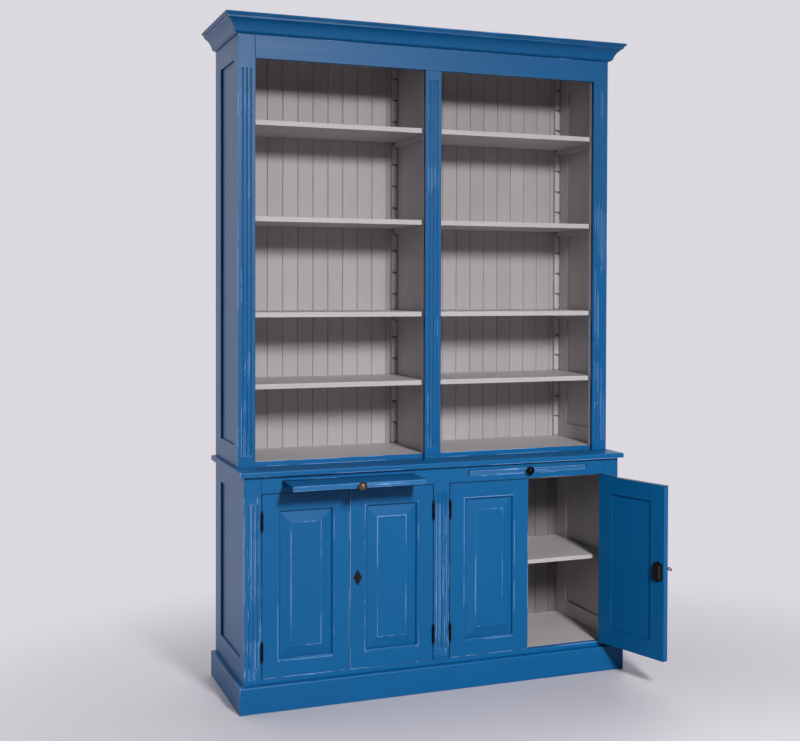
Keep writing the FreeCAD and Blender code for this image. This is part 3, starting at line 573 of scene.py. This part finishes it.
# How much each part has been handled, by the start of its node's name, and how much of its
# two ends (low, high) is butted against another board and can't be rubbed.
BARE_END = -100 * MM
HANDLING = {"right_slide": (1.0, BARE_END, BARE_END), "left_slide": (0.95, BARE_END, BARE_END),
            "door": (0.66, BARE_END, BARE_END), "base_pilasters": (0.60, 8 * MM, 64 * MM),
            "upper_pilasters": (0.45, 8 * MM, 90 * MM),
            "base_top_board": (0.75, BARE_END, BARE_END),
            "base_top_rail": (0.4, 4 * MM, 4 * MM), "base_floor": (0.45, 4 * MM, 4 * MM),
            "upper_floor": (0.6, 4 * MM, 4 * MM), "frieze": (0.2, 6 * MM, 6 * MM),
            "cornice": (0.5, BARE_END, BARE_END), "plinth_boards": (0.55, BARE_END, BARE_END),
            "upper_left_shelf": (0.7, BARE_END, BARE_END),
            "upper_right_shelf": (0.7, BARE_END, BARE_END),
            "base_left_shelf": (0.7, BARE_END, BARE_END),
            "base_right_shelf": (0.7, BARE_END, BARE_END),
            "shelf_racks": (0.5, BARE_END, BARE_END)}
SELDOM = (0.12, 2 * MM, 2 * MM)
# Parts whose front faces are streaked too.
STREAKED = {"right_slide": 0.9, "left_slide": 0.9, "base_pilasters": 0.35}
# Parts that are lighter or darker than their finish usually is; 0 is as usual. On the grey parts
# this is painted light and shade: lighter shelves, floors and racks, darker backs, and the far
# darker back of the base is painted shade inside its cupboard.
SHADES = {"upper_back_boards": -0.6, "base_back_boards": -4.2, "upper_left_shelf": 0.8,
          "upper_right_shelf": 0.8, "base_left_shelf": 0.8, "base_right_shelf": 0.8,
          "upper_floor": 0.8, "base_floor": 0.6, "shelf_racks": 0.9,
          "left_slide_knob": 0.6, "door_4_lock": 0.1, "frame_hinge_halves": -0.3}
SHADES.update({f"door_{number}_hinges": -0.3 for number in (1, 2, 3, 4)})
# Parts with more painted shade in their corners than their finish has.
MORE_CREASE_SHADE = {"shelf_racks": 1.0}

# Shares of a part's handling that reach some of its faces.
PANEL_OUTLINE = 1.12           # the front of a door's raised panel
DOOR_EDGE = 0.5                # the narrow edges of a door
SLIDE_TOP = 0.4                # the faces of a slide behind its front


def exposure(node, centre, normal):
    """Share of the handling that reaches a face, with the doors shut and the case facing -Y."""
    if node.startswith("door"):
        if centre.y >= DOOR_MIDDLE:
            return 0.0
        if node.endswith("panel"):
            return PANEL_OUTLINE
        if normal.y >= MOSTLY:
            return 0.0
        return DOOR_EDGE if abs(normal.x) > SQUARE else 1.0
    if node.startswith("cornice"):
        return float(centre.z > CORNICE_FILLET)
    if node.endswith("slide"):
        return 1.0 if normal.y < -SQUARE else SLIDE_TOP
    return 1.0


FAR = 1.0                      # stands for a side that there isn't, in metres


def from_shelter(node, place, low, high):
    """Distances to the sides of a board that face a gap or a joint."""
    if node.endswith("pilasters"):
        return (place.x - low[0] if low[0] > OUTERMOST else FAR,
                high[0] - place.x if high[0] < -OUTERMOST else FAR, FAR)
    if node.startswith("door") and node.endswith("frame"):
        hinge = joints[node.replace("frame", "hinge")]
        return abs(place.x - hinge["pos_m"][0]), DOOR_TOP - place.z, FAR
    if node == "base_floor":
        return place.z - low[2], FAR, FAR
    if node.endswith("slide"):
        return place.x - low[0], high[0] - place.x, FAR
    return FAR, FAR, FAR


def of_part(table, node, otherwise):
    """What a table says of the part that a node's name starts with."""
    return next((table[start] for start in table if node.startswith(start)), otherwise)


def lay_grain(bm, node, rng):
    """Writes on the corners what the finishes need to know of each board."""
    board = bm.faces.layers.int[BOARD]
    grain, ends, shelter, handled = (bm.loops.layers.float_vector.new(name)
                                     for name in (GRAIN, ENDS, SHELTER, HANDLED))
    tint = bm.loops.layers.float.new(TINT)
    handling, low_end, high_end = of_part(HANDLING, node, SELDOM)
    faces_of = {}
    for face in bm.faces:
        faces_of.setdefault(face[board], []).append(face)
    for number in sorted(faces_of):
        faces = faces_of[number]
        places = [vertex.co for face in faces for vertex in face.verts]
        low = [min(place[i] for place in places) for i in range(3)]
        high = [max(place[i] for place in places) for i in range(3)]
        along = max(range(3), key=lambda i: high[i] - low[i])
        order = [along] + [i for i in range(3) if i != along]
        offset = Vector(rng.uniform(0, 40) for _ in range(3))
        shade = of_part(SHADES, node, 0) + rng.uniform(-0.2, 0.2)
        for face in faces:
            used = handling * exposure(node, face.calc_center_median(), face.normal)
            streaked = STREAKED.get(node, 0) if face.normal.y < -SQUARE else 0
            for loop in face.loops:
                place = loop.vert.co
                loop[grain] = Vector(place[i] for i in order) + offset
                loop[ends] = (place[along] - low[along] - low_end,
                              high[along] - high_end - place[along], FAR)
                loop[shelter] = from_shelter(node, place, low, high)
                loop[tint] = shade
                # the third share is the strength of the painted shade in the corners
                loop[handled] = (used, streaked, MORE_CREASE_SHADE.get(node, 0))


def dressed(node, slot):
    """Stands for a CAD node: the same solids with eased arrises and grain places."""
    body = frame["nodes"][node]["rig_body"]
    shut = closed_turn(body)
    bm = boards_of(node, shut)
    flatten(bm)
    if node == "base_floor":    # only the strip before the doors' backs is blue
        bmesh.ops.bisect_plane(bm, geom=bm.verts[:] + bm.edges[:] + bm.faces[:],
                               plane_co=(0, DOOR_BACK, 0), plane_no=(0, 1, 0))
    lay_grain(bm, node, random.Random(node))
    second, has_it = SECOND_FINISH.get(node, (None, None))
    for face in bm.faces:
        face.material_index = int(bool(second) and has_it(face.calc_center_median(), face.normal))
        face.smooth = True
    bm.transform(shut.inverted())
    mesh = bpy.data.meshes.new(node + "_finished")
    bm.to_mesh(mesh)
    bm.free()
    mesh.materials.append(FINISHES[slot])
    if second:
        mesh.materials.append(FINISHES[second])
    piece = bpy.data.objects.new(node + "_finished", mesh)
    scene.collection.objects.link(piece)
    ease = piece.modifiers.new("eased arrises", "BEVEL")
    ease.width = IRON_EASING if slot == "dark_iron" else WOOD_EASING
    ease.segments = 2
    ease.limit_method = "ANGLE"
    ease.angle_limit = EASED_TURN
    ease.harden_normals = True
    weld = piece.modifiers.new("no faces without area", "WELD")
    weld.mode = "CONNECTED"
    weld.merge_threshold = WELD
    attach(piece, body)
    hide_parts(node)


# ---- studio ----------------------------------------------------------------------------
BACKDROP = (0.715, 0.69, 0.74, 1)
FLOOR = (0.62, 0.60, 0.633, 1)
FLOOR_BOUNCE = (0.15, 0.145, 0.15, 1)  # its light on the furniture is held back
FLOOR_REACH = 14               # metres from the middle to its edges
FADE_CENTRE = (0, -1.0, 0)
FADE = (1.1, 2.7)              # where the floor starts and ends to turn into the backdrop
FADE_AHEAD = (-0.8, -1.7)      # and where, along Y, it does so for the camera
FRONT_FILL = 0.04              # brightness of the dark side of the studio
BACK_FILL = 1.42               # and of the lit backdrop, as seen by the furniture

KEY_PLACE = (0.08, -4.45, 2.99)
KEY_TILT = math.radians(81)    # downwards: the lamp hangs above and in front
KEY_SIZE = (0.6, 1.7)
KEY_POWER = 345
KEY_COLOUR = (1.0, 0.985, 0.985)
FILL_PLACE = (-4.2, -3.4, 3.0)
FILL_AIM = (0, 0, 1.2)
FILL_SIZE = (2.6, 2.6)
FILL_POWER = 19
SHEEN_PLACE = (1.6, -4.45, 3.1)        # only glances off the paint
SHEEN_AIM = (0, 0, 2.3)
SHEEN_SIZE = (3.0, 1.0)
SHEEN_POWER = 28


def lamp(name, place, forward, size, power):
    """A soft round or oval lamp that shines along forward; power in watts."""
    data = bpy.data.lights.new(name, "AREA")
    data.shape = "ELLIPSE"
    data.size, data.size_y = size
    data.energy = power
    made = bpy.data.objects.new(name, data)
    made.location = place
    made.rotation_euler = Vector(forward).to_track_quat("-Z", "Y").to_euler()
    scene.collection.objects.link(made)
    return made


def lamps():
    key = lamp("key", KEY_PLACE, (0, math.cos(KEY_TILT), -math.sin(KEY_TILT)), KEY_SIZE, KEY_POWER)
    key.data.color = KEY_COLOUR
    lamp("fill", FILL_PLACE, Vector(FILL_AIM) - Vector(FILL_PLACE), FILL_SIZE, FILL_POWER)
    sheen = lamp("sheen", SHEEN_PLACE, Vector(SHEEN_AIM) - Vector(SHEEN_PLACE), SHEEN_SIZE,
                 SHEEN_POWER)
    sheen.visible_diffuse = False


def backdrop():
    world = bpy.data.worlds.new("studio")
    scene.world = world
    world.use_nodes = True
    tree = world.node_tree
    sky = tree.nodes["Background"]
    sky.inputs["Color"].default_value = BACKDROP
    direction = separate(tree, add(tree, "TexCoord").outputs["Generated"])
    around = remap(tree, direction["Y"], -0.1, 0.45, FRONT_FILL, BACK_FILL)
    seen = add(tree, "LightPath").outputs["Is Camera Ray"]
    strength = add(tree, "Mix", data_type="FLOAT")
    for index, value in ((0, seen), (2, around), (3, 1.0)):
        feed(tree, strength.inputs[index], value)
    feed(tree, sky.inputs["Strength"], strength.outputs[0])


def floor():
    mesh = bpy.data.meshes.new("floor")
    corners = [(-1, -1), (1, -1), (1, 1), (-1, 1)]
    mesh.from_pydata([(x * FLOOR_REACH, y * FLOOR_REACH, 0) for x, y in corners], [],
                     [(0, 1, 2, 3)])
    ground = bpy.data.objects.new("floor", mesh)
    scene.collection.objects.link(ground)
    made, tree, surface = material("pale floor")
    path = add(tree, "LightPath").outputs
    feed(tree, surface.inputs["Base Color"],
         mix_colour(tree, path["Is Diffuse Ray"], FLOOR, FLOOR_BOUNCE))
    surface.inputs["Roughness"].default_value = 0.55
    place = add(tree, "TexCoord").outputs["Object"]
    away = remap(tree, vector_math(tree, "DISTANCE", place, FADE_CENTRE), *FADE)
    ahead = remap(tree, separate(tree, place)["Y"], *FADE_AHEAD)
    ahead = math_node(tree, "MULTIPLY", ahead, path["Is Camera Ray"])
    seen = math_node(tree, "ADD", path["Is Camera Ray"], path["Is Glossy Ray"])
    faded = math_node(tree, "MULTIPLY", math_node(tree, "MAXIMUM", away, ahead), seen)
    glow = add(tree, "Emission", Color=BACKDROP)
    feed(tree, glow.inputs["Strength"], remap(tree, path["Is Glossy Ray"], 0, 1, 1, BACK_FILL))
    both = add(tree, "MixShader")
    for socket, value in zip(both.inputs, (faded, surface.outputs[0], glow.outputs[0])):
        feed(tree, socket, value)
    feed(tree, tree.nodes["Material Output"].inputs["Surface"], both.outputs[0])
    mesh.materials.append(made)


set_camera()
backdrop()
lamps()
floor()
for node, slot in slots.items():
    dressed(node, slot)
scene.view_settings.view_transform = "Standard"
